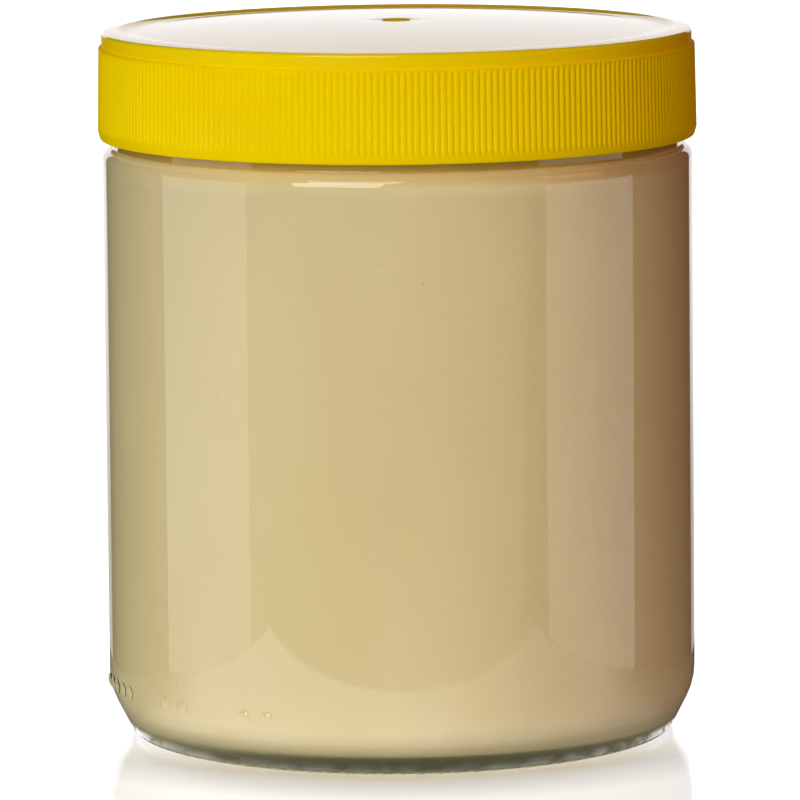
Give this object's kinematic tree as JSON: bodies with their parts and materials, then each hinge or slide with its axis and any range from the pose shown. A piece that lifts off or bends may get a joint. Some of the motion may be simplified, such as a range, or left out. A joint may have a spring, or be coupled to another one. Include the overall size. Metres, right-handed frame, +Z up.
{
  "type": "jar of honey",
  "caption": "Round straight-sided clear glass jar filled with pale creamed honey, closed by a shallow yellow plastic screw lid with a finely ribbed grip band.",
  "frame": {"origin": "middle of the circle on which the jar stands, at the surface that carries it", "axes": "+Z up along the turning axis of jar and lid; X and Y lie in the standing surface"},
  "size_m": [0.082, 0.082, 0.0979],
  "materials": {
    "jar_glass": "clear smooth glass with a faint green tint where it is thick",
    "creamed_honey": "opaque pale beige set honey, smooth, seen through the glass",
    "lid_plastic": "bright yellow moulded plastic, glossy top, fine vertical ribs"
  },
  "bodies": {
    "root": {"glass_jar": "jar_glass", "honey": "creamed_honey", "lid": "lid_plastic"}
  },
  "joints": []
}
